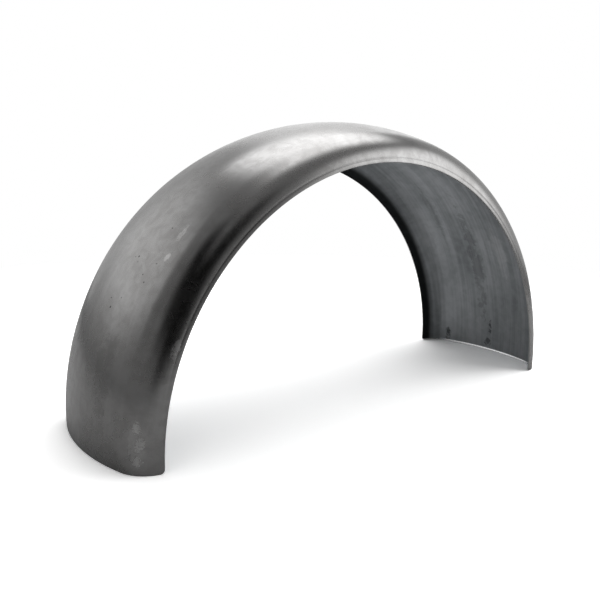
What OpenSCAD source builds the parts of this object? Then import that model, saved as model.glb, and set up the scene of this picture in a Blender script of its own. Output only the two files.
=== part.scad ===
// Rear fender for a motorcycle: one half ring of plain sheet steel, rolled to a low crown
// with soft shoulders and short flared skirts. It stands on its two trimmed ends.
// X runs from end to end, Y runs across the wheel and Z points up. The origin lies on
// the plane of the two ends, midway between them.

/* [Fender] */
// Radius over the middle of the crown, from the wheel centre
fender_r = 343; // [300:1:400]
// Overall width across the two free edges
fender_w = 216; // [190:1:260]
// Height of the wheel centre above the plane of the two ends
axle_h = 8; // [0:0.5:60]
// Thickness of the sheet
wall = 2; // [1:0.1:4]

/* [Section] */
// Outer radius of the low crown
crown_r = 262; // [200:1:400]
// Outer radius of each soft shoulder
shoulder_r = 40; // [24:1:48]
// Straight length of each skirt, from its shoulder to the free edge
skirt_len = 5.3; // [3:0.1:14]
// Lean of each skirt, outwards from straight down, in degrees
skirt_flare = 12; // [2:0.5:20]

/* [Edges] */
// Radius on the cut edge of the sheet along each skirt
edge_r = 0.4; // [0.2:0.05:0.45]
// Radius of the four corners where a free edge meets a trimmed end
corner_r = 5; // [2:0.5:12]
// Width of the fine line that forming leaves on each skirt, just below its shoulder
line_w = 0.8; // [0.4:0.1:1.5]
// Depth of that line
line_depth = 0.2; // [0.1:0.05:0.4]

/* [Hidden] */
$fn = 180;

// Spare length that carries a cutting shape past the metal
spare = 20;
// How far a corner's rounding reaches past the faces that it meets
bite = 0.05;
// Turn of one step along the crown, a shoulder and a cut edge, in degrees
crown_step = 1.5;
shoulder_step = 3;
edge_step = 22.5;

// In the section, x is the distance from the wheel centre and y runs across the wheel.
// The crown's arc and each shoulder's arc meet on the line through their two centres.
centre_gap = crown_r - shoulder_r;
shoulder_y = fender_w / 2 - shoulder_r * cos(skirt_flare) - skirt_len * sin(skirt_flare);
crown_turn = asin(shoulder_y / centre_gap);
crown_centre = [fender_r - crown_r, 0];
shoulder_centre = crown_centre + centre_gap * [cos(crown_turn), sin(crown_turn)];

// Along the skirt, and square to it on its outside
down = [-cos(skirt_flare), sin(skirt_flare)];
out = [sin(skirt_flare), cos(skirt_flare)];
skirt_top = shoulder_centre + shoulder_r * out;
skirt_end = skirt_top + skirt_len * down;
// Radius of the ring that the innermost line of the free edge makes
edge_ring_r = skirt_end[0] - wall * sin(skirt_flare);

// Points along an arc, after its first one
function arc(centre, r, from_angle, to_angle, step) =
    let (count = ceil(abs(to_angle - from_angle) / step))
    [
        for (i = [1:count])
            let (turn = from_angle + (to_angle - from_angle) * i / count)
            centre + r * [cos(turn), sin(turn)]
    ];

// The middle of the crown on one face of the sheet, and that face from there to the skirt
function crown_middle(inset) = crown_centre + [crown_r - inset, 0];
function half_face(inset) = concat(
    arc(crown_centre, crown_r - inset, 0, crown_turn, crown_step),
    arc(shoulder_centre, shoulder_r - inset, crown_turn, 90 - skirt_flare, shoulder_step)
);

// The fine line, a shallow vee that starts where the skirt does
function forming_line() = [
    skirt_top + line_w / 2 * down - line_depth * out,
    skirt_top + line_w * down
];

// The skirt's cut edge, rounded from its outer face to its inner one
function cut_edge() = concat(
    [skirt_end - edge_r * down],
    arc(skirt_end - edge_r * (down + out), edge_r, 90 - skirt_flare, 180 - skirt_flare, edge_step),
    [skirt_end - (wall - edge_r) * out],
    arc(skirt_end - edge_r * down - (wall - edge_r) * out, edge_r,
        180 - skirt_flare, 270 - skirt_flare, edge_step)
);

function reversed(points) = [for (i = [len(points) - 1:-1:0]) points[i]];
function mirrored(points) = [for (p = points) [p[0], -p[1]]];

// The section: out over one shoulder, round its free edge and back inside, and then the
// same again on the other side of the wheel
module section() {
    half = concat(half_face(0), forming_line(), cut_edge(), reversed(half_face(wall)));
    polygon(concat([crown_middle(0)], half, [crown_middle(wall)], reversed(mirrored(half))));
}

// The section swept round the wheel centre
module sheet_ring() {
    translate([0, 0, axle_h]) rotate([90, 0, 0]) rotate_extrude() section();
}

// All that lies below the plane of the two ends
module below_ends() {
    reach = fender_r + spare;
    depth = reach - axle_h;
    translate([-reach, -fender_w / 2 - spare, -depth]) cube([2 * reach, fender_w + 2 * spare, depth]);
}

// What leaves a round corner between the free edges and the trimmed end on the +X side
module corner_cut() {
    centre_z = corner_r - bite;
    reach = edge_ring_r + corner_r - bite;
    centre_x = sqrt(reach * reach - pow(centre_z - axle_h, 2));
    touch_z = centre_z + (axle_h - centre_z) * corner_r / reach;
    across = fender_w + 2 * spare;
    difference() {
        translate([centre_x - 2 * corner_r, -across / 2, -corner_r]) {
            cube([2 * corner_r, across, corner_r + touch_z]);
        }
        translate([centre_x, 0, centre_z]) rotate([90, 0, 0]) {
            cylinder(r = corner_r, h = across + spare, center = true);
        }
    }
}

module fender() {
    color("dimgray") difference() {
        difference() {
            sheet_ring();
            below_ends();
        }
        for (end = [0, 1]) {
            mirror([end, 0, 0]) corner_cut();
        }
    }
}

fender();
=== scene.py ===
"""Looks of a motorcycle's rear fender in bare sheet steel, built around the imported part."""

from itertools import product
from math import asin, atan2, cos, hypot, pi, radians, sin

import bmesh
import bpy
from bpy.props import FloatProperty, FloatVectorProperty, IntProperty, PointerProperty
from bpy.types import Operator, Panel, PropertyGroup
from mathutils import Matrix, Vector


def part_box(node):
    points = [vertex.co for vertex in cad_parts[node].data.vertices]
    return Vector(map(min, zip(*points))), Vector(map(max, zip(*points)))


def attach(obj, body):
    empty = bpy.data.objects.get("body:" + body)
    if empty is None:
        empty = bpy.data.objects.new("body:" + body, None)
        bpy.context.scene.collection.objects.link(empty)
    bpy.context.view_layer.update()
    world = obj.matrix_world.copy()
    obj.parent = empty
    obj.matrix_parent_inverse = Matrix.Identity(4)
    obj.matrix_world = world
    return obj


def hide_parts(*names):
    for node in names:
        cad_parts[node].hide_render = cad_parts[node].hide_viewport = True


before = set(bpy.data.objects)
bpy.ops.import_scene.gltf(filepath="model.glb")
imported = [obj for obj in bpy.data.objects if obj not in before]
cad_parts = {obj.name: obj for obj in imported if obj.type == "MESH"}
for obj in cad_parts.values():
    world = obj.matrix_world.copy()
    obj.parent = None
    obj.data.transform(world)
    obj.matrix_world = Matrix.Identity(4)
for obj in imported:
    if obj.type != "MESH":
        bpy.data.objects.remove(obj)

bl_info = {
    "name": "Rear Fender",
    "version": (1, 0, 0),
    "blender": (4, 5, 0),
    "location": "View3D > Sidebar > Fender",
    "description": "Models a raw steel motorcycle rear fender and its studio",
    "category": "Add Mesh",
}

bpy.context.view_layer.update()
SHEET_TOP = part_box("fender")[1].z
AXLE_HEIGHT = 0.008
OUTSIDE, INSIDE, CUT_EDGE, LIP = range(4)
UV_NAME = "sheet_uv"
ACROSS = Vector((0, 1, 0))
WHITE = (1.0, 1.0, 1.0, 1.0)
VECTOR, FLOAT = "NodeSocketVector", "NodeSocketFloat"
# Distances within which points are merged, or count as lying on a cutting plane.
MERGE = 1e-6
ON_PLANE = 1e-7


class SheetSettings(PropertyGroup):
    """Sizes of the sheet, which repeat the part's own."""

    axle_height: FloatProperty(
        name="Axle Height", default=AXLE_HEIGHT, unit="LENGTH",
        description="Height of the wheel centre above the two ends",
    )
    fender_radius: FloatProperty(
        name="Crown Ring Radius", default=SHEET_TOP - AXLE_HEIGHT, unit="LENGTH",
        description="From the wheel centre to the middle of the crown",
    )
    width: FloatProperty(
        name="Width", default=0.216, unit="LENGTH",
        description="Overall width across the two free edges",
    )
    wall: FloatProperty(
        name="Wall", default=0.002, unit="LENGTH", description="Thickness of the sheet",
    )
    crown_radius: FloatProperty(
        name="Crown Radius", default=0.262, unit="LENGTH",
        description="Radius of the low crown across the wheel",
    )
    shoulder_radius: FloatProperty(
        name="Shoulder Radius", default=0.040, unit="LENGTH",
        description="Radius of each soft shoulder",
    )
    skirt_length: FloatProperty(
        name="Skirt Length", default=0.0053, unit="LENGTH",
        description="Straight length of each skirt, down to its free edge",
    )
    skirt_flare: FloatProperty(
        name="Skirt Flare", default=radians(12), unit="ROTATION",
        description="Lean of each skirt, outwards from straight down",
    )
    corner_radius: FloatProperty(
        name="Corner Radius", default=0.005, unit="LENGTH",
        description="Rounding where a free edge meets a trimmed end",
    )
    edge_bevel: FloatProperty(
        name="Edge Bevel", default=0.0004, unit="LENGTH",
        description="Rounding on the cut edges of the sheet",
    )
    lip_height: FloatProperty(
        name="Lip Height", default=0.0022, unit="LENGTH",
        description="Height of the dressed lip inside each trimmed end",
    )
    lip_reach: FloatProperty(
        name="Lip Reach", default=0.0009, unit="LENGTH",
        description="How far the dressed lip stands inwards",
    )
    line_width: FloatProperty(
        name="Line Width", default=0.0008, unit="LENGTH",
        description="Width of the fine forming line below each shoulder",
    )
    line_depth: FloatProperty(
        name="Line Depth", default=0.0002, unit="LENGTH",
        description="Depth of the fine forming line",
    )
    arc_steps: IntProperty(
        name="Arc Steps", default=300, min=32,
        description="Steps of the sheet from one end to the other",
    )
    crown_steps: IntProperty(
        name="Crown Steps", default=30, min=8, description="Steps across the crown",
    )
    shoulder_steps: IntProperty(
        name="Shoulder Steps", default=18, min=6, description="Steps round each shoulder",
    )
    corner_cuts: IntProperty(
        name="Corner Cuts", default=7, min=2, description="Flats that round each corner",
    )


class FinishSettings(PropertyGroup):
    """Colours and gloss of the steel."""

    outside: FloatVectorProperty(
        name="Outside", subtype="COLOR", size=3, min=0, max=1, default=(0.326, 0.324, 0.322),
        description="Bare steel on the outside",
    )
    outside_dark: FloatVectorProperty(
        name="Outside Dark", subtype="COLOR", size=3, min=0, max=1, default=(0.232, 0.227, 0.224),
        description="Darker mottling on the outside",
    )
    # Painted light: both inside colours are set lighter than the outside's, to make up for the
    # shade that falls under the arch; the bluish tone is the mill finish's own.
    inside: FloatVectorProperty(
        name="Inside", subtype="COLOR", size=3, min=0, max=1, default=(0.545, 0.566, 0.588),
        description="Bluish mill finish on the inside",
    )
    inside_dark: FloatVectorProperty(
        name="Inside Dark", subtype="COLOR", size=3, min=0, max=1, default=(0.315, 0.333, 0.347),
        description="Darker stains on the inside",
    )
    lip: FloatVectorProperty(
        name="Lip", subtype="COLOR", size=3, min=0, max=1, default=(0.92, 0.92, 0.92),
        description="Freshly dressed lip inside the two trimmed ends",
    )
    cut_edge: FloatVectorProperty(
        name="Cut Edge", subtype="COLOR", size=3, min=0, max=1, default=(0.55, 0.55, 0.55),
        description="Deburred edge of the sheet",
    )
    roughness: FloatProperty(
        name="Roughness", default=0.21, min=0, max=1, subtype="FACTOR",
        description="Roughness of the outside; the inside is a little rougher",
    )


class StageSettings(PropertyGroup):
    """Floor, lamps and camera."""

    azimuth: FloatProperty(
        name="Azimuth", default=radians(-36.925), unit="ROTATION",
        description="Turn of the camera round the part, from looking along +Y",
    )
    elevation: FloatProperty(
        name="Elevation", default=radians(11.810), unit="ROTATION",
        description="Angle by which the camera looks down",
    )
    roll: FloatProperty(
        name="Roll", default=radians(0.882), unit="ROTATION",
        description="Turn of the camera about its own line of sight",
    )
    distance: FloatProperty(
        name="Distance", default=0.92976, unit="LENGTH",
        description="From the camera to the plane through the wheel centre",
    )
    aim_right: FloatProperty(
        name="Aim Right", default=-0.04137, unit="LENGTH",
        description="How far right of the wheel centre the camera aims",
    )
    aim_up: FloatProperty(
        name="Aim Up", default=0.11163, unit="LENGTH",
        description="How far above the wheel centre the camera aims",
    )
    lens: FloatProperty(
        name="Lens", default=41.03, subtype="DISTANCE_CAMERA",
        description="Focal length on a 36 mm sensor",
    )
    floor_colour: FloatVectorProperty(
        name="Floor Colour", subtype="COLOR", size=3, min=0, max=1, default=(0.46, 0.46, 0.46),
        description="Floor as the steel reflects it; the camera sees it white",
    )
    floor_lift: FloatProperty(
        name="Floor Lift", default=0.66, min=0, max=1,
        description="Extra brightness of the floor for the camera",
    )
    wall_glow: FloatProperty(
        name="Wall Glow", default=0.55, min=0, max=2,
        description="Brightness of the back wall in the steel",
    )
    room_light: FloatProperty(
        name="Room Light", default=0.285, min=0, max=2,
        description="Even light from all round, as the steel reflects it",
    )
    floor_fill: FloatProperty(
        name="Floor Fill", default=0.42, min=0, soft_max=3,
        description="Even light from all round, as it falls on the floor",
    )
    top_light: FloatProperty(
        name="Top Light", default=32.0, min=0, unit="POWER",
        description="Power of the large lamp over the floor",
    )
    right_light: FloatProperty(
        name="Right Light", default=10.5, min=0, unit="POWER",
        description="Power of the soft lamp low on the right",
    )
    back_light: FloatProperty(
        name="Back Light", default=2.0, min=0, unit="POWER",
        description="Power of the weak soft lamp at the back on the left",
    )


def outline_points(s):
    """Points that the section's arcs share, as (distance from the axle, distance from the middle).

    Returns the crown's turn from the middle to a shoulder, its centre's distance from the axle,
    and the centre of a shoulder.
    """
    gap = s.crown_radius - s.shoulder_radius
    shoulder_y = (
        s.width / 2 - s.shoulder_radius * cos(s.skirt_flare) - s.skirt_length * sin(s.skirt_flare)
    )
    turn = asin(shoulder_y / gap)
    crown_x = s.fender_radius - s.crown_radius
    shoulder_x = crown_x + gap * cos(turn)
    return turn, crown_x, Vector((shoulder_x, shoulder_y))


def skirt_point(s, down):
    """A point on a skirt's outer face, by its distance below the shoulder."""
    *_, shoulder = outline_points(s)
    return (
        shoulder.x + s.shoulder_radius * sin(s.skirt_flare) - down * cos(s.skirt_flare),
        shoulder.y + s.shoulder_radius * cos(s.skirt_flare) + down * sin(s.skirt_flare),
    )


def extend(bm, vert, step):
    """Draws a straight edge from the end of the path."""
    new = bmesh.ops.extrude_vert_indiv(bm, verts=[vert])["verts"][0]
    bmesh.ops.translate(bm, verts=[new], vec=step)
    return new


def bend(bm, vert, centre, turn, steps, axis=(0, 0, 1)):
    """Draws an arc from the end of the path."""
    made = bmesh.ops.spin(
        bm, geom=[vert], cent=centre, axis=axis, angle=turn, steps=steps, use_duplicate=False,
    )
    return next(g for g in made["geom_last"] if isinstance(g, bmesh.types.BMVert))


def draw_section(bm, s):
    """Draws the sheet's outer face across the wheel, as one path at the height of the axle."""
    turn, crown_x, shoulder = outline_points(s)
    level = s.axle_height
    lean_cos, lean_sin = cos(s.skirt_flare), sin(s.skirt_flare)
    up = Vector((lean_cos, lean_sin, 0))
    out = Vector((lean_sin, -lean_cos, 0))
    top = Vector((shoulder.x, -shoulder.y, level)) + s.shoulder_radius * out
    plain = (s.skirt_length - s.line_width) / 2
    skirt_steps = (plain, plain, s.line_width / 2, s.line_width / 2)
    vert = bm.verts.new(top - s.skirt_length * up)
    for length in skirt_steps:
        vert = extend(bm, vert, length * up)
    shoulder_turn = pi / 2 - s.skirt_flare - turn
    vert = bend(bm, vert, (shoulder.x, -shoulder.y, level), shoulder_turn, s.shoulder_steps)
    vert = bend(bm, vert, (crown_x, 0, level), 2 * turn, s.crown_steps)
    vert = bend(bm, vert, (shoulder.x, shoulder.y, level), shoulder_turn, s.shoulder_steps)
    up.x = -up.x
    for length in reversed(skirt_steps):
        vert = extend(bm, vert, length * up)


def slice_faces(bm, faces, point, normal, clear=False):
    """Cuts faces along a plane; clear also takes away what lies on its normal's side."""
    geom = list({part for face in faces for part in (*face.verts, *face.edges, face)})
    bmesh.ops.bisect_plane(
        bm, geom=geom, dist=ON_PLANE, plane_co=point, plane_no=normal, clear_outer=clear,
    )


def sweep_section(bm, s):
    """Sweeps the section round the axle and trims both ends level with the ground."""
    axle = Vector((0, 0, s.axle_height))
    spare = radians(1)
    start = asin(s.axle_height / (s.fender_radius - s.shoulder_radius - s.skirt_length)) + spare
    bmesh.ops.rotate(bm, verts=bm.verts, cent=axle, matrix=Matrix.Rotation(start, 3, ACROSS))
    bmesh.ops.spin(
        bm, geom=bm.verts[:] + bm.edges[:], cent=axle, axis=-ACROSS,
        angle=pi + 2 * start, steps=s.arc_steps, use_duplicate=False,
    )
    slice_faces(bm, bm.faces, (0, 0, 0), (0, 0, -1), clear=True)


def round_corners(bm, s):
    """Rounds the four corners between the free edges and the ends with flats on a circle."""
    edge_ring, _ = skirt_point(s, s.skirt_length)
    rise = s.corner_radius - s.axle_height
    centre_x = ((edge_ring + s.corner_radius) ** 2 - rise ** 2) ** 0.5
    near = s.corner_radius * 3
    leans = [pi / 2 * cut / s.corner_cuts for cut in range(1, s.corner_cuts)]
    for end, side, lean in product((-1, 1), (-1, 1), leans):
        centre = Vector((end * centre_x, 0, s.corner_radius))
        normal = Vector((-end * cos(lean), 0, -sin(lean)))
        faces = [
            f for f in bm.faces
            if all(v.co.x * end > 0 and v.co.y * side > 0 and v.co.z < near for v in f.verts)
        ]
        slice_faces(bm, faces, centre + s.corner_radius * normal, normal, clear=True)


def press_lines(s, outer_verts):
    """Presses the fine forming line into the outer face; it is deepest over the top of the arch."""
    line_ring, line_y = skirt_point(s, s.line_width / 2)
    near = s.line_width / 8
    # The depth grows from its least share at the ends to the full depth at this sine of the arc.
    least_depth, full_rise = 0.15, 0.8
    for vert in outer_verts:
        ring = hypot(vert.co.x, vert.co.z - s.axle_height)
        if abs(abs(vert.co.y) - line_y) < near and abs(ring - line_ring) < near:
            rise = max(vert.co.z - s.axle_height, 0) / ring
            share = least_depth + (1 - least_depth) * min(rise / full_rise, 1) ** 2
            vert.co -= s.line_depth * share * vert.normal


def raise_lip(bm, s):
    """Raises the dressed lip along the inside of both trimmed ends."""
    # The lip stands out fully below its crest, and fades away towards the rounded corners.
    crest = s.lip_height * 0.4
    fade_out = s.corner_radius * 3
    slack = 1e-5
    for height in (s.lip_height, crest):
        faces = [
            f for f in bm.faces
            if f.material_index == INSIDE and min(v.co.z for v in f.verts) < height
        ]
        slice_faces(bm, faces, (0, 0, height), (0, 0, 1))
    inside = [f for f in bm.faces if f.material_index == INSIDE]
    for vert in {v for f in inside for v in f.verts if v.co.z < crest + slack}:
        fade = min(max((s.width / 2 - abs(vert.co.y)) / fade_out, 0), 1)
        inwards = Vector((-vert.co.x, 0, 0)).normalized()
        vert.co += s.lip_reach * fade * inwards
    for face in inside:
        if max(v.co.z for v in face.verts) < s.lip_height + slack:
            face.material_index = LIP


def across_sheet(s, y, ring):
    """Distance along the section from the middle of the crown to a point, signed as y is."""
    turn, crown_x, shoulder = outline_points(s)
    side = 1 if y >= 0 else -1
    crown_angle = atan2(abs(y), ring - crown_x)
    if crown_angle <= turn:
        return side * crown_angle * s.crown_radius
    skirt_angle = pi / 2 - s.skirt_flare
    angle = min(max(atan2(abs(y) - shoulder.y, ring - shoulder.x), turn), skirt_angle)
    reach = turn * s.crown_radius + (angle - turn) * s.shoulder_radius
    if angle == skirt_angle:
        down = Vector((-cos(s.skirt_flare), sin(s.skirt_flare)))
        reach += max((Vector((ring, abs(y))) - Vector(skirt_point(s, 0))).dot(down), 0)
    return side * reach


def lay_uv(bm, s):
    """Unrolls the sheet: u is metres along it from the left end, v is metres across it.

    The sheet goes on a little below the axle, so u is negative close to the left end.
    """
    layer = bm.loops.layers.uv.new(UV_NAME)
    for face in bm.faces:
        for loop in face.loops:
            x, y, z = loop.vert.co
            ring = hypot(x, z - s.axle_height)
            along = (pi - atan2(z - s.axle_height, x)) % (2 * pi)
            along = along if along < 1.5 * pi else along - 2 * pi
            loop[layer].uv = (along * s.fender_radius, across_sheet(s, y, ring))


def build_sheet(s):
    """Models the whole sheet; its faces are marked as outside, inside, cut edge or lip."""
    bm = bmesh.new()
    draw_section(bm, s)
    sweep_section(bm, s)
    round_corners(bm, s)
    bmesh.ops.remove_doubles(bm, verts=bm.verts, dist=MERGE)
    bmesh.ops.recalc_face_normals(bm, faces=bm.faces)
    top = max(bm.faces, key=lambda f: f.calc_center_median().z)
    if top.normal.z < 0:
        bmesh.ops.reverse_faces(bm, faces=bm.faces)
    outer_faces = bm.faces[:]
    outer_verts = bm.verts[:]
    made = bmesh.ops.solidify(bm, geom=outer_faces, thickness=s.wall)["geom"]
    inner_faces = [g for g in made if isinstance(g, bmesh.types.BMFace)]
    for faces, side in ((bm.faces, CUT_EDGE), (outer_faces, OUTSIDE), (inner_faces, INSIDE)):
        for face in faces:
            face.material_index = side
    bm.normal_update()
    press_lines(s, outer_verts)
    raise_lip(bm, s)
    bm.normal_update()
    rims = [
        e for e in bm.edges
        if len(e.link_faces) == 2 and sum(f.material_index == CUT_EDGE for f in e.link_faces) == 1
    ]
    bmesh.ops.bevel(
        bm, geom=rims, offset=s.edge_bevel, affect="EDGES", segments=2, profile=0.5, material=-1,
        clamp_overlap=True,
    )
    for face in bm.faces:
        face.smooth = face.material_index != LIP
    lay_uv(bm, s)
    mesh = bpy.data.meshes.new("fender_sheet")
    bm.to_mesh(mesh)
    bm.free()
    return mesh


def join(tree, value, into):
    """Gives a socket its value: another socket's, or a fixed number, place or colour."""
    if isinstance(value, bpy.types.NodeSocket):
        tree.links.new(value, into)
    else:
        into.default_value = value


def new_group(name, inputs, outputs):
    """A node group with named inputs and outputs; returns its tree and end nodes."""
    tree = bpy.data.node_groups.new(name, "ShaderNodeTree")
    for way, sockets in (("INPUT", inputs), ("OUTPUT", outputs)):
        for label, kind in sockets.items():
            tree.interface.new_socket(label, in_out=way, socket_type=kind)
    return tree, tree.nodes.new("NodeGroupInput"), tree.nodes.new("NodeGroupOutput")


def use_group(tree, group, place):
    """Places a group in a material, at a place on the sheet."""
    node = tree.nodes.new("ShaderNodeGroup")
    node.node_tree = group
    join(tree, place, node.inputs["Place"])
    return node


def new_material(name):
    """An empty material; returns it with its node tree and the socket of its surface."""
    mat = bpy.data.materials.new(name)
    mat.use_nodes = True
    tree = mat.node_tree
    tree.nodes.clear()
    return mat, tree, tree.nodes.new("ShaderNodeOutputMaterial").inputs["Surface"]


def map_range(tree, value, low, high, to_low=0.0, to_high=1.0, smooth=True):
    """Maps a value between two limits, clamped, and returns the result's socket."""
    node = tree.nodes.new("ShaderNodeMapRange")
    node.interpolation_type = "SMOOTHSTEP" if smooth else "LINEAR"
    join(tree, value, node.inputs["Value"])
    join(tree, low, node.inputs["From Min"])
    join(tree, high, node.inputs["From Max"])
    join(tree, to_low, node.inputs["To Min"])
    join(tree, to_high, node.inputs["To Max"])
    return node.outputs["Result"]


def maths(tree, operation, first, second=0.0):
    """Joins two values by one operation; each is a number or a socket."""
    node = tree.nodes.new("ShaderNodeMath")
    node.operation = operation
    join(tree, first, node.inputs[0])
    join(tree, second, node.inputs[1])
    return node.outputs[0]


def vector_maths(tree, operation, first, second=(0, 0, 0)):
    """Joins two places by one operation, or measures the first one."""
    node = tree.nodes.new("ShaderNodeVectorMath")
    node.operation = operation
    join(tree, first, node.inputs[0])
    join(tree, second, node.inputs[1])
    return node.outputs["Value" if operation == "LENGTH" else "Vector"]


def weighted(tree, parts):
    """Adds up several masks, each by its own weight."""
    total = 0.0
    for socket, weight in parts:
        total = maths(tree, "ADD", maths(tree, "MULTIPLY", socket, weight), total)
    return total


def noise(tree, vector, scale, detail=2.0, rough=0.5, warp=0.0):
    """Noise over the sheet, with its scale to the metre."""
    node = tree.nodes.new("ShaderNodeTexNoise")
    join(tree, vector, node.inputs["Vector"])
    join(tree, scale, node.inputs["Scale"])
    join(tree, detail, node.inputs["Detail"])
    join(tree, rough, node.inputs["Roughness"])
    join(tree, warp, node.inputs["Distortion"])
    return node.outputs["Fac"]


def stretch(tree, vector, scale, shift=(0, 0, 0)):
    """Stretches a pattern, so that it runs along the sheet."""
    node = tree.nodes.new("ShaderNodeMapping")
    join(tree, vector, node.inputs["Vector"])
    join(tree, scale, node.inputs["Scale"])
    join(tree, shift, node.inputs["Location"])
    return node.outputs["Vector"]


def shaded(colour, factor):
    """A colour made lighter or darker."""
    return [min(c * factor, 1) for c in colour]


def mix_colour(tree, mask, first, second):
    """Mixes two colours by a mask; each is a colour or a socket."""
    node = tree.nodes.new("ShaderNodeMix")
    node.data_type = "RGBA"
    join(tree, mask, node.inputs["Factor"])
    for name, value in (("A", first), ("B", second)):
        socket = next(i for i in node.inputs if i.name == name and i.type == "RGBA")
        fixed = not isinstance(value, bpy.types.NodeSocket)
        join(tree, (*value[:3], 1) if fixed else value, socket)
    return next(o for o in node.outputs if o.type == "RGBA")


def mix_shader(tree, mask, first, second):
    """Mixes two shaders by a mask."""
    node = tree.nodes.new("ShaderNodeMixShader")
    for socket, value in zip(node.inputs, (mask, first, second)):
        join(tree, value, socket)
    return node.outputs[0]


def white_glow(tree, strength):
    """An even white glow."""
    node = tree.nodes.new("ShaderNodeEmission")
    join(tree, WHITE, node.inputs["Color"])
    join(tree, strength, node.inputs["Strength"])
    return node.outputs[0]


# Each pattern: scale to the metre, detail, roughness, distortion, and the band that makes its mask.
MOTTLING = {
    "Patches": (13, 2, 0.45, 0.4, 0.36, 0.66),
    "Clouds": (80, 4, 0.55, 0.5, 0.34, 0.68),
    "Grain": (420, 3, 0.60, 0.0, 0.30, 0.70),
}


def mottling_group():
    """Uneven patches and fine speckle, such as handling and mill oil leave on bare sheet."""
    tree, start, end = new_group(
        "sheet_mottling", {"Place": VECTOR}, {pattern: FLOAT for pattern in MOTTLING},
    )
    for pattern, (scale, detail, rough, warp, low, high) in MOTTLING.items():
        blotches = noise(tree, start.outputs["Place"], scale, detail, rough, warp)
        join(tree, map_range(tree, blotches, low, high), end.inputs[pattern])
    return tree


def streaks_group():
    """Rolling streaks, with far fewer to the metre along the sheet than across it."""
    broad_streaks, fine_streaks, fine_shift = (2.5, 45, 1), (7, 260, 1), (3, 5, 0)
    tree, start, end = new_group("rolling_streaks", {"Place": VECTOR}, {"Streaks": FLOAT})
    broad_marks = stretch(tree, start.outputs["Place"], broad_streaks)
    fine_marks = stretch(tree, start.outputs["Place"], fine_streaks, fine_shift)
    both = weighted(tree, (
        (noise(tree, broad_marks, 1, detail=4, warp=0.3), 0.65),
        (noise(tree, fine_marks, 1, detail=2), 0.35),
    ))
    join(tree, map_range(tree, both, 0.36, 0.64), end.inputs["Streaks"])
    return tree


def pits_group():
    """Small dark pits, one at most to a cell; their amount may change over the sheet."""
    cells_to_metre, wobbles_to_metre = 120, 900
    largest, edge_out, edge_in = 0.10, 0.14, 0.06
    tree, start, end = new_group(
        "dark_pits", {"Place": VECTOR, "Amount": FLOAT}, {"Pits": FLOAT},
    )
    cells = tree.nodes.new("ShaderNodeTexVoronoi")
    join(tree, cells_to_metre, cells.inputs["Scale"])
    join(tree, start.outputs["Place"], cells.inputs["Vector"])
    wobble = noise(tree, start.outputs["Place"], wobbles_to_metre, detail=2)
    edge = weighted(tree, ((cells.outputs["Distance"], 1.0), (wobble, 0.06)))
    pick = tree.nodes.new("ShaderNodeSeparateColor")
    join(tree, cells.outputs["Color"], pick.inputs["Color"])
    size = maths(tree, "MULTIPLY", pick.outputs["Green"], largest)
    dot = map_range(tree, maths(tree, "SUBTRACT", edge, size), edge_out, edge_in)
    chosen = maths(tree, "LESS_THAN", pick.outputs["Red"], start.outputs["Amount"])
    join(tree, maths(tree, "MULTIPLY", dot, chosen), end.inputs["Pits"])
    return tree


def mark_group():
    """One ragged mark at a place on the sheet, such as a scuff or a stain.

    It shows where the noise, helped by how near the mark's centre is, passes a limit.
    """
    helped, faintest, full = 0.42, 0.74, 0.92
    tree, start, end = new_group(
        "sheet_mark",
        {"Place": VECTOR, "Centre": VECTOR, "Reach": VECTOR, "Fineness": FLOAT},
        {"Mark": FLOAT},
    )
    place, centre, reach, fineness = (
        start.outputs[name] for name in ("Place", "Centre", "Reach", "Fineness")
    )
    offset = vector_maths(tree, "SUBTRACT", place, centre)
    apart = vector_maths(tree, "LENGTH", vector_maths(tree, "DIVIDE", offset, reach))
    near = map_range(tree, apart, 1.0, 0.1)
    ragged = noise(tree, place, fineness, detail=6, rough=0.68, warp=1.4)
    both = weighted(tree, ((near, helped), (ragged, 1.0)))
    mark = map_range(tree, both, faintest, full)
    join(tree, maths(tree, "MULTIPLY", mark, map_range(tree, near, 0.0, 0.4)), end.inputs["Mark"])
    return tree


# Each scuff, stain or area of pits: place along and across the sheet from the left end and the
# middle, reach along and across, all in metres, and then its fineness and its strength.
OUTSIDE_MARKS = {
    "scuffs_and_painted_sheen": (
        (0.027, -0.101, 0.046, 0.022, 60, 0.10),
        (0.045, -0.099, 0.016, 0.008, 170, 0.24),
        (0.026, -0.104, 0.018, 0.011, 170, 0.26),
        (0.008, -0.101, 0.015, 0.012, 170, 0.28),
        (0.136, -0.120, 0.024, 0.009, 120, 0.34),
        # Painted reflection: these two lighter marks on the near shoulder stand in for a light
        # streak through the dark band that the shoulder mirrors.
        (0.220, -0.068, 0.011, 0.006, 110, 0.38),
        (0.250, -0.066, 0.026, 0.007, 260, 0.30),
        (0.620, 0.050, 0.050, 0.020, 90, 0.22),
        (0.860, -0.030, 0.040, 0.016, 110, 0.25),
    ),
    "stains": (
        (0.090, -0.045, 0.090, 0.040, 34, 0.20),
        (0.200, -0.040, 0.030, 0.014, 90, 0.14),
        (0.480, 0.070, 0.080, 0.030, 60, 0.15),
        (0.980, 0.020, 0.070, 0.040, 50, 0.18),
    ),
    "pits": (
        (0.205, -0.038, 0.090, 0.050, 8, 0.70),
        (0.168, -0.022, 0.060, 0.040, 8, 0.70),
        (0.162, 0.052, 0.050, 0.040, 8, 0.70),
        (0.560, -0.020, 0.110, 0.060, 8, 0.35),
        (0.930, 0.050, 0.110, 0.060, 8, 0.35),
    ),
}
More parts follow.
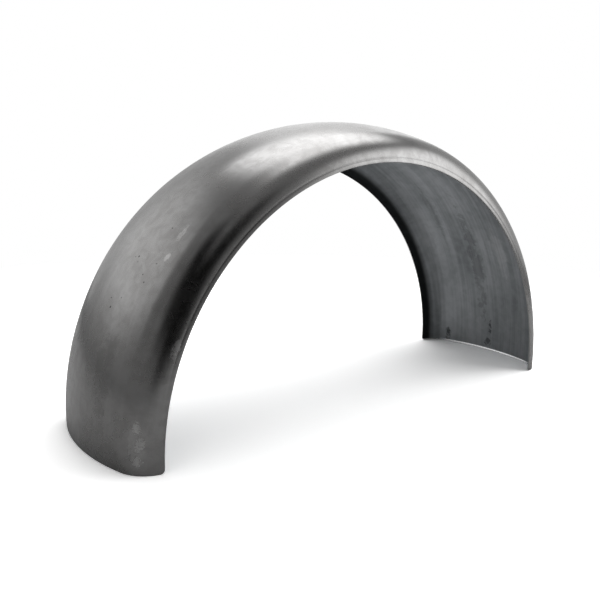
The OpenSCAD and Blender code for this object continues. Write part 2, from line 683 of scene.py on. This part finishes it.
INSIDE_MARKS = {
    "scuffs_and_painted_sheen": (
        (0.900, -0.040, 0.110, 0.030, 40, 0.14),
        (0.300, 0.040, 0.110, 0.030, 40, 0.14),
    ),
    "stains": (
        (0.930, 0.014, 0.230, 0.024, 60, 0.34),
        (1.071, 0.081, 0.026, 0.012, 110, 0.85),
        (1.050, 0.000, 0.030, 0.007, 110, 0.80),
        (1.072, 0.004, 0.018, 0.016, 110, 0.70),
        (0.830, 0.060, 0.120, 0.016, 90, 0.20),
        (0.150, -0.030, 0.140, 0.024, 60, 0.30),
    ),
    # Painted shade: the inside of each shoulder darkens to near black towards its skirt, between
    # these distances across the sheet in metres.
    "painted_skirt_shade": (0.106, 0.119),
}

# What a mark of each kind does: its tint of the steel's colour, and what it adds to the roughness;
# the lighter tint also serves the painted reflection among the scuffs.
SCUFF_AND_SHEEN_TINT, SCUFF_AND_SHEEN_DULLING = 2.2, 0.15
STAIN_TINT, STAIN_DULLING = 0.3, 0.10
# Tint of the painted shade on the inside of the skirts, as a factor on the dark colour.
SKIRT_SHADE_TINT = 0.12
PIT_TINT, PIT_HEIGHT, STRAY_PITS = 0.15, -0.2, 0.004
# How far each pattern darkens the steel, and how high it stands as a share of the bump's distance.
MOTTLING_SHADE = {"Patches": 0.48, "Clouds": 0.42, "Grain": 0.10}
MOTTLING_HEIGHT = {"Patches": 0.16, "Clouds": 0.004}
BUMP_STRENGTH, BUMP_DISTANCE = 0.5, 0.0004
# The dark colour of the edges is this share of their light one.
EDGE_SHADE = 0.8


def marks_mask(tree, group, place, marks):
    """Adds up several marks of one kind."""
    parts = []
    for u, v, along, across, fineness, strength in marks:
        node = use_group(tree, group, place)
        join(tree, (u, v, 0), node.inputs["Centre"])
        join(tree, (along, across, 1), node.inputs["Reach"])
        join(tree, fineness, node.inputs["Fineness"])
        parts.append((node.outputs["Mark"], strength))
    return weighted(tree, parts)


def steel(name, light, dark, rough, spread, streak, marks, groups):
    """Bare steel: mottled and streaked along the sheet, with the marks that its side carries, among
    them painted shade and a painted reflection.

    spread is how far the roughness rises with the patterns, and streak is the share of the streaks.
    """
    mat, tree, surface = new_material(name)
    shader = tree.nodes.new("ShaderNodeBsdfPrincipled")
    join(tree, 1, shader.inputs["Metallic"])
    join(tree, shader.outputs[0], surface)
    where = tree.nodes.new("ShaderNodeUVMap")
    where.uv_map = UV_NAME
    place = where.outputs["UV"]
    mottling = use_group(tree, groups["mottling"], place).outputs
    streaks = use_group(tree, groups["streaks"], place).outputs["Streaks"]
    shades = [(mottling[key], share * (1 - streak)) for key, share in MOTTLING_SHADE.items()]
    base = mix_colour(tree, weighted(tree, (*shades, (streaks, streak))), light, dark)
    dulling = [
        (mottling["Patches"], spread / 2),
        (mottling["Clouds"], spread / 2),
        (streaks, spread * streak),
    ]
    heights = [(mottling[key], height) for key, height in MOTTLING_HEIGHT.items()]
    # Lighter marks are scuffs, and on the outside's near shoulder a painted reflection; darker
    # marks are stains.
    for kind, tint, dull in (
        ("scuffs_and_painted_sheen", shaded(light, SCUFF_AND_SHEEN_TINT), SCUFF_AND_SHEEN_DULLING),
        ("stains", shaded(dark, STAIN_TINT), STAIN_DULLING),
    ):
        if kind in marks:
            mask = marks_mask(tree, groups["mark"], place, marks[kind])
            base = mix_colour(tree, mask, base, tint)
            dulling.append((mask, dull))
    # Painted shade: the inside grows near black towards the skirts.
    if "painted_skirt_shade" in marks:
        apart = tree.nodes.new("ShaderNodeSeparateXYZ")
        join(tree, place, apart.inputs[0])
        across = maths(tree, "ABSOLUTE", apart.outputs["Y"])
        painted_skirt_shade = map_range(tree, across, *marks["painted_skirt_shade"])
        base = mix_colour(tree, painted_skirt_shade, base, shaded(dark, SKIRT_SHADE_TINT))
    if "pits" in marks:
        pits = use_group(tree, groups["pits"], place)
        pitted = marks_mask(tree, groups["mark"], place, marks["pits"])
        join(tree, maths(tree, "ADD", pitted, STRAY_PITS), pits.inputs["Amount"])
        base = mix_colour(tree, pits.outputs["Pits"], base, shaded(dark, PIT_TINT))
        heights.append((pits.outputs["Pits"], PIT_HEIGHT))
    join(tree, base, shader.inputs["Base Color"])
    join(tree, maths(tree, "ADD", weighted(tree, dulling), rough), shader.inputs["Roughness"])
    bump = tree.nodes.new("ShaderNodeBump")
    join(tree, BUMP_STRENGTH, bump.inputs["Strength"])
    join(tree, BUMP_DISTANCE, bump.inputs["Distance"])
    join(tree, weighted(tree, heights), bump.inputs["Height"])
    join(tree, bump.outputs["Normal"], shader.inputs["Normal"])
    return mat


class FENDER_OT_sheet(Operator):
    """Model the fender's steel sheet in place of the plain part, and give it its finish"""

    bl_idname = "fender.sheet"
    bl_label = "Fender Sheet"

    def execute(self, context):
        finish = context.scene.fender_finish
        mesh = build_sheet(context.scene.fender_sheet)
        sheet = bpy.data.objects.new("fender_sheet", mesh)
        context.scene.collection.objects.link(sheet)
        groups = {
            "mottling": mottling_group(), "streaks": streaks_group(), "pits": pits_group(),
            "mark": mark_group(),
        }
        cut_dark = shaded(finish.cut_edge, EDGE_SHADE)
        lip_dark = shaded(finish.lip, EDGE_SHADE)
        # Each finish: light and dark colour, added roughness, its spread, share of streaks, marks.
        for name, light, dark, dull, spread, streak, marks in (
            ("outside_steel", finish.outside, finish.outside_dark, 0, 0.08, 0.18, OUTSIDE_MARKS),
            # The inside's colours carry painted light, set lighter to make up for the shade under
            # the arch.
            ("inside_steel", finish.inside, finish.inside_dark, 0.18, 0.12, 0.55, INSIDE_MARKS),
            ("cut_edge_steel", finish.cut_edge, cut_dark, 0.1, 0.1, 0.3, {}),
            ("dressed_lip_steel", finish.lip, lip_dark, 0, 0.1, 0.3, {}),
        ):
            rough = finish.roughness + dull
            mesh.materials.append(steel(name, light, dark, rough, spread, streak, marks, groups))
        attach(sheet, "root")
        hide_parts("fender")
        return {"FINISHED"}


STUDIO_RADIUS = 2.2
# Distances from the part over which the floor grows dim in the steel, and white for the camera.
FLOOR_DIMS = (0.9, 1.7)
FLOOR_WHITENS = (0.5, 1.3)
DIM_FLOOR = 0.25
# Each card: place, aim, turn in degrees, half width, half height, width of the soft edge, level.
CROWN = (-0.10, -0.03, 0.25)
CARDS = {
    "top_glow": ((0.68, 0.57, 1.90), (0.68, 0.57, 0), 90, 1.10, 0.76, 0.60, 3.1),
    "right_glow": ((1.18, -0.86, 0.74), CROWN, 0, 0.64, 0.48, 0.46, 2.35),
    "back_glow": ((-0.98, 1.33, 1.04), CROWN, 0, 0.86, 0.60, 1.00, 1.2),
    "low_glow": ((1.17, 1.38, 0.87), CROWN, 0, 0.66, 0.74, 0.50, 1.2),
    "dark_middle": ((-0.64, -1.18, 0.45), CROWN, 0, 0.48, 0.50, 0.29, 0),
    "dark_left": ((-1.06, -0.93, 0.73), CROWN, 0, 0.42, 0.40, 0.48, 0),
    "dark_upper_left": ((-0.96, -0.73, 1.18), CROWN, 0, 0.32, 0.32, 0.42, 0),
    "dark_upper_right": ((-0.22, -1.22, 0.88), CROWN, 0, 0.30, 0.30, 0.30, 0),
}
# Each lamp: place, aim, turn in degrees, width, height and the setting that holds its power.
LAMPS = {
    "top_lamp": ((0.76, 0.57, 1.94), (0.76, 0.57, 0), 70, 2.5, 2.0, "top_light"),
    "right_lamp": ((1.32, -0.92, 0.74), (0.15, -0.1, 0.28), 0, 1.4, 0.9, "right_light"),
    "back_lamp": ((-0.89, 1.11, 1.02), (-0.25, 0, 0.25), 0, 1.5, 1.05, "back_light"),
}


def floor_material(stage):
    """Pale floor, lit up for the camera, which sees it run to white away from the part."""
    mat, tree, surface = new_material("floor")
    camera = tree.nodes.new("ShaderNodeLightPath").outputs["Is Camera Ray"]
    where = tree.nodes.new("ShaderNodeTexCoord")
    apart = vector_maths(tree, "LENGTH", where.outputs["Object"])
    beyond = map_range(tree, apart, *FLOOR_DIMS)
    dim = shaded(stage.floor_colour, DIM_FLOOR)
    plain_floor = mix_colour(tree, beyond, stage.floor_colour, dim)
    pale = tree.nodes.new("ShaderNodeBsdfDiffuse")
    join(tree, mix_colour(tree, camera, plain_floor, WHITE), pale.inputs["Color"])
    lift = tree.nodes.new("ShaderNodeBsdfDiffuse")
    join(tree, (stage.floor_lift,) * 3 + (1,), lift.inputs["Color"])
    lifted = tree.nodes.new("ShaderNodeAddShader")
    join(tree, pale.outputs[0], lifted.inputs[0])
    join(tree, lift.outputs[0], lifted.inputs[1])
    near = mix_shader(tree, camera, pale.outputs[0], lifted.outputs[0])
    faded = maths(tree, "MULTIPLY", map_range(tree, apart, *FLOOR_WHITENS), camera)
    join(tree, mix_shader(tree, faded, near, white_glow(tree, 1)), surface)
    return mat


def wall_material(stage):
    """White for the camera, and a weaker glow in the steel's reflections."""
    mat, tree, surface = new_material("wall")
    camera = tree.nodes.new("ShaderNodeLightPath").outputs["Is Camera Ray"]
    level = map_range(tree, camera, 0, 1, stage.wall_glow, 1, smooth=False)
    join(tree, white_glow(tree, level), surface)
    return mat


def card_material(name, half_x, half_y, soft, level):
    """A card of one level, black or glowing, whose edges fade to nothing."""
    mat, tree, surface = new_material(name)
    where = tree.nodes.new("ShaderNodeTexCoord")
    apart = tree.nodes.new("ShaderNodeSeparateXYZ")
    join(tree, where.outputs["Object"], apart.inputs[0])
    edges = []
    for axis, half in (("X", half_x), ("Y", half_y)):
        out_by = maths(tree, "ABSOLUTE", apart.outputs[axis])
        edges.append(map_range(tree, out_by, half + soft / 2, half - soft / 2))
    clear = tree.nodes.new("ShaderNodeBsdfTransparent").outputs[0]
    solid = maths(tree, "MULTIPLY", *edges)
    join(tree, mix_shader(tree, solid, clear, white_glow(tree, level)), surface)
    return mat


def stage_object(context, name, bm, material):
    """Puts a finished stage mesh in the scene, with its material."""
    mesh = bpy.data.meshes.new(name)
    bm.to_mesh(mesh)
    bm.free()
    mesh.materials.append(material)
    obj = bpy.data.objects.new(name, mesh)
    context.scene.collection.objects.link(obj)
    return obj


def add_floor(context, stage):
    """Round floor, out to the foot of the wall."""
    bm = bmesh.new()
    bmesh.ops.create_circle(bm, cap_ends=True, cap_tris=True, radius=STUDIO_RADIUS, segments=96)
    stage_object(context, "floor", bm, floor_material(stage))


def add_wall(context, stage):
    """Back wall: part of a cylinder, with a hollow foot that runs into the floor."""
    foot_radius, height = 0.3, 1.75
    start, sweep = radians(-10), radians(110)
    bm = bmesh.new()
    foot = bm.verts.new((STUDIO_RADIUS, 0, 0))
    last = bend(bm, foot, (STUDIO_RADIUS, 0, foot_radius), pi / 2, 12, axis=-ACROSS)
    extend(bm, last, Vector((0, 0, height)))
    turned = Matrix.Rotation(start, 3, "Z")
    bmesh.ops.rotate(bm, verts=bm.verts, cent=(0, 0, 0), matrix=turned)
    bmesh.ops.spin(
        bm, geom=bm.verts[:] + bm.edges[:], cent=(0, 0, 0), axis=(0, 0, 1), angle=sweep,
        steps=48, use_duplicate=False,
    )
    wall = stage_object(context, "wall", bm, wall_material(stage))
    wall.visible_diffuse = False
    wall.visible_shadow = False


def faced(place, aim, turn):
    """The turn of a lamp or card that faces its aim, and is then turned about its own axis."""
    facing = (Vector(aim) - Vector(place)).to_track_quat("-Z", "Y").to_matrix()
    return (facing @ Matrix.Rotation(radians(turn), 3, "Z")).to_euler()


def add_card(context, name, place, aim, turn, half_x, half_y, soft, level):
    """A soft-edged card that only the steel reflects."""
    bm = bmesh.new()
    bmesh.ops.create_grid(bm, x_segments=1, y_segments=1, size=max(half_x, half_y) + soft / 2)
    card = stage_object(context, name, bm, card_material(name, half_x, half_y, soft, level))
    card.location = place
    card.rotation_euler = faced(place, aim, turn)
    card.visible_camera = False
    card.visible_diffuse = False
    card.visible_shadow = False


def add_lamp(context, name, place, aim, turn, width, height, power):
    """A flat soft lamp for the floor; the steel reflects the cards in its stead."""
    light = bpy.data.lights.new(name, "AREA")
    light.shape = "RECTANGLE"
    light.size = width
    light.size_y = height
    light.energy = power
    lamp = bpy.data.objects.new(name, light)
    lamp.location = place
    lamp.rotation_euler = faced(place, aim, turn)
    lamp.visible_camera = False
    lamp.visible_glossy = False
    context.scene.collection.objects.link(lamp)


def add_camera(context, stage):
    """The camera stands as the photo's did."""
    data = bpy.data.cameras.new("camera")
    data.sensor_width = 36
    data.lens = stage.lens
    data.clip_start = 0.01
    back = Vector((
        sin(stage.azimuth) * cos(stage.elevation),
        -cos(stage.azimuth) * cos(stage.elevation),
        sin(stage.elevation),
    ))
    right = Vector((0, 0, 1)).cross(back).normalized()
    up = back.cross(right)
    aim = Vector((0, 0, AXLE_HEIGHT)) + stage.aim_right * right + stage.aim_up * up
    turned_right = cos(stage.roll) * right + sin(stage.roll) * up
    turned = Matrix((turned_right, back.cross(turned_right), back)).transposed()
    camera = bpy.data.objects.new("camera", data)
    camera.matrix_world = Matrix.Translation(aim + stage.distance * back) @ turned.to_4x4()
    context.scene.collection.objects.link(camera)
    context.scene.camera = camera


def add_world(context, stage):
    """Even light from all round, and white where the camera sees past the stage."""
    world = bpy.data.worlds.new("studio")
    context.scene.world = world
    world.use_nodes = True
    tree = world.node_tree
    tree.nodes.clear()
    out = tree.nodes.new("ShaderNodeOutputWorld")
    sky = tree.nodes.new("ShaderNodeBackground")
    rays = tree.nodes.new("ShaderNodeLightPath")
    glossy = rays.outputs["Is Glossy Ray"]
    room = map_range(tree, glossy, 0, 1, stage.floor_fill, stage.room_light, smooth=False)
    level = maths(tree, "MAXIMUM", room, rays.outputs["Is Camera Ray"])
    join(tree, WHITE, sky.inputs["Color"])
    join(tree, level, sky.inputs["Strength"])
    join(tree, sky.outputs[0], out.inputs["Surface"])


class FENDER_OT_stage(Operator):
    """Set up the pale floor and wall, the soft cards and lamps, and the camera"""

    bl_idname = "fender.stage"
    bl_label = "Stage"

    def execute(self, context):
        stage = context.scene.fender_stage
        add_floor(context, stage)
        add_wall(context, stage)
        for name, settings in CARDS.items():
            add_card(context, name, *settings)
        for name, (*settings, power) in LAMPS.items():
            add_lamp(context, name, *settings, getattr(stage, power))
        add_camera(context, stage)
        add_world(context, stage)
        context.scene.view_settings.view_transform = "Standard"
        return {"FINISHED"}


class FENDER_PT_panel(Panel):
    """Lists the fender's sheet and stage with their settings"""

    bl_label = "Rear Fender"
    bl_idname = "FENDER_PT_panel"
    bl_space_type = "VIEW_3D"
    bl_region_type = "UI"
    bl_category = "Fender"

    def draw(self, context):
        scene = context.scene
        for operator, groups in (
            ("fender.sheet", (scene.fender_sheet, scene.fender_finish)),
            ("fender.stage", (scene.fender_stage,)),
        ):
            box = self.layout.box()
            box.operator(operator)
            for group in groups:
                for name in group.bl_rna.properties.keys():
                    if name not in ("rna_type", "name"):
                        box.prop(group, name)


SETTINGS = {
    "fender_sheet": SheetSettings,
    "fender_finish": FinishSettings,
    "fender_stage": StageSettings,
}
CLASSES = (*SETTINGS.values(), FENDER_OT_sheet, FENDER_OT_stage, FENDER_PT_panel)


def register():
    for cls in CLASSES:
        bpy.utils.register_class(cls)
    for name, cls in SETTINGS.items():
        setattr(bpy.types.Scene, name, PointerProperty(type=cls))


def unregister():
    for name in SETTINGS:
        delattr(bpy.types.Scene, name)
    for cls in reversed(CLASSES):
        bpy.utils.unregister_class(cls)


def main():
    register()
    for operator in (bpy.ops.fender.sheet, bpy.ops.fender.stage):
        if operator() != {"FINISHED"}:
            raise RuntimeError("an operator of the fender did not finish")


if __name__ == "__main__":
    main()
